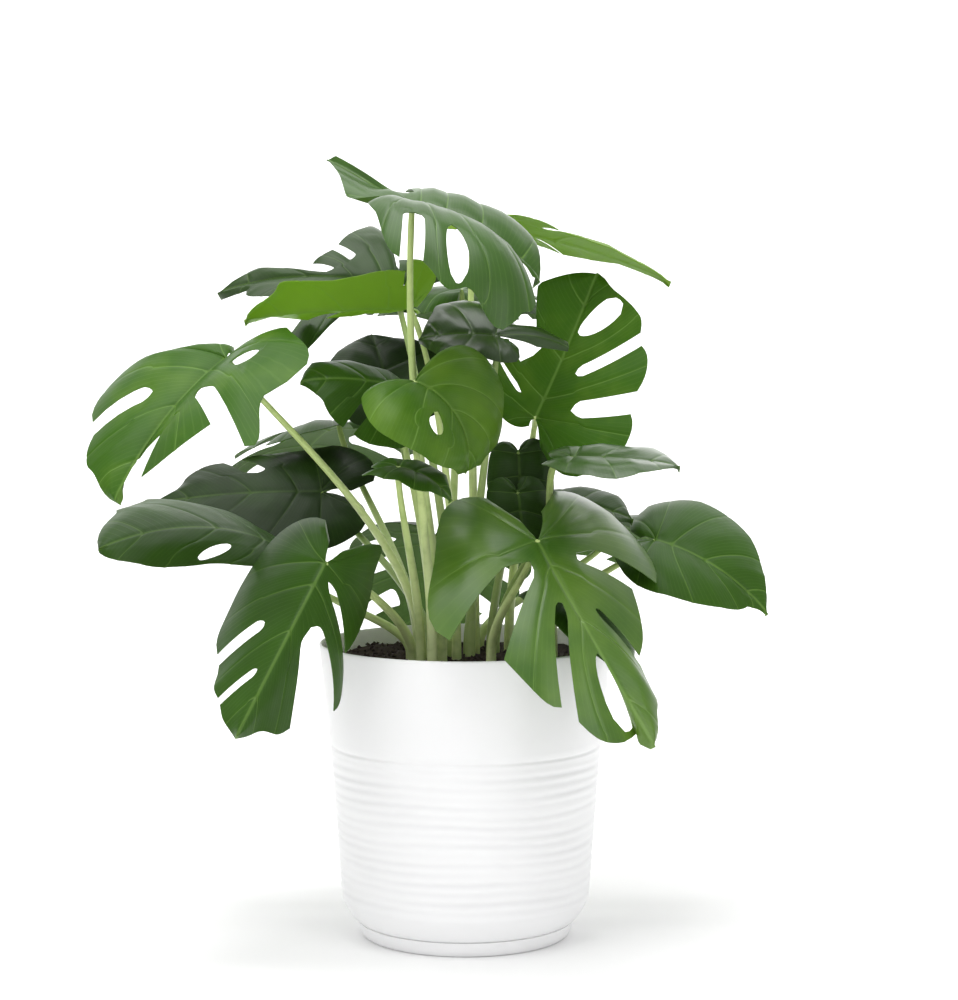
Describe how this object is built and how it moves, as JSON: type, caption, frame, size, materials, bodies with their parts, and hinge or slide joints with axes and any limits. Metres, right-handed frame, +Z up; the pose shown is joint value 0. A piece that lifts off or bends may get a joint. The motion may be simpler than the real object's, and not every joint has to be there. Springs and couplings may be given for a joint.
{
  "type": "potted swiss cheese plant",
  "caption": "Swiss cheese plant with glossy cut leaves on long stalks, growing in soil in a round rippled pot that stands in a low saucer.",
  "frame": {"origin": "middle of the saucer's flat underside, on the surface the pot stands on", "axes": "+Z up along the pot's axis, -Y toward the viewer, +X to the viewer's right"},
  "size_m": [0.5655, 0.5307, 0.672],
  "materials": {
    "leaf_blade": "glossy living leaf, lighter along the veins",
    "leaf_stalk": "smooth pale green living stalk",
    "pot": "white moulded plastic, satin gloss",
    "saucer": "white moulded plastic, satin gloss",
    "soil": "loose dark potting soil"
  },
  "bodies": {
    "root": {"leaf_front_right_blade": "leaf_blade", "leaf_front_right_stalk": "leaf_stalk", "leaf_front_left_blade": "leaf_blade", "leaf_front_left_stalk": "leaf_stalk", "leaf_right_upright_blade": "leaf_blade", "leaf_right_upright_stalk": "leaf_stalk", "leaf_top_blade": "leaf_blade", "leaf_top_stalk": "leaf_stalk", "leaf_upper_right_blade": "leaf_blade", "leaf_upper_right_stalk": "leaf_stalk", "leaf_upper_left_blade": "leaf_blade", "leaf_upper_left_stalk": "leaf_stalk", "leaf_upper_back_left_blade": "leaf_blade", "leaf_upper_back_left_stalk": "leaf_stalk", "leaf_grey_blade": "leaf_blade", "leaf_grey_stalk": "leaf_stalk", "leaf_lens_blade": "leaf_blade", "leaf_lens_stalk": "leaf_stalk", "leaf_centre_blade": "leaf_blade", "leaf_centre_stalk": "leaf_stalk", "leaf_centre_left_blade": "leaf_blade", "leaf_centre_left_stalk": "leaf_stalk", "leaf_far_left_blade": "leaf_blade", "leaf_far_left_stalk": "leaf_stalk", "leaf_mid_left_blade": "leaf_blade", "leaf_mid_left_stalk": "leaf_stalk", "leaf_low_left_blade": "leaf_blade", "leaf_low_left_stalk": "leaf_stalk", "leaf_right_heart_blade": "leaf_blade", "leaf_right_heart_stalk": "leaf_stalk", "leaf_shade_top_blade": "leaf_blade", "leaf_shade_top_stalk": "leaf_stalk", "leaf_shade_right_blade": "leaf_blade", "leaf_shade_right_stalk": "leaf_stalk", "leaf_shade_mid_blade": "leaf_blade", "leaf_shade_mid_stalk": "leaf_stalk", "leaf_shade_low_blade": "leaf_blade", "leaf_shade_low_stalk": "leaf_stalk", "leaf_low_right_blade": "leaf_blade", "leaf_low_right_stalk": "leaf_stalk", "leaf_small_blade": "leaf_blade", "leaf_small_stalk": "leaf_stalk", "leaf_back_high_blade": "leaf_blade", "leaf_back_high_stalk": "leaf_stalk", "leaf_back_left_blade": "leaf_blade", "leaf_back_left_stalk": "leaf_stalk", "leaf_back_right_blade": "leaf_blade", "leaf_back_right_stalk": "leaf_stalk", "leaf_back_low_blade": "leaf_blade", "leaf_back_low_stalk": "leaf_stalk", "pot": "pot", "saucer": "saucer", "soil": "soil"}
  },
  "joints": []
}
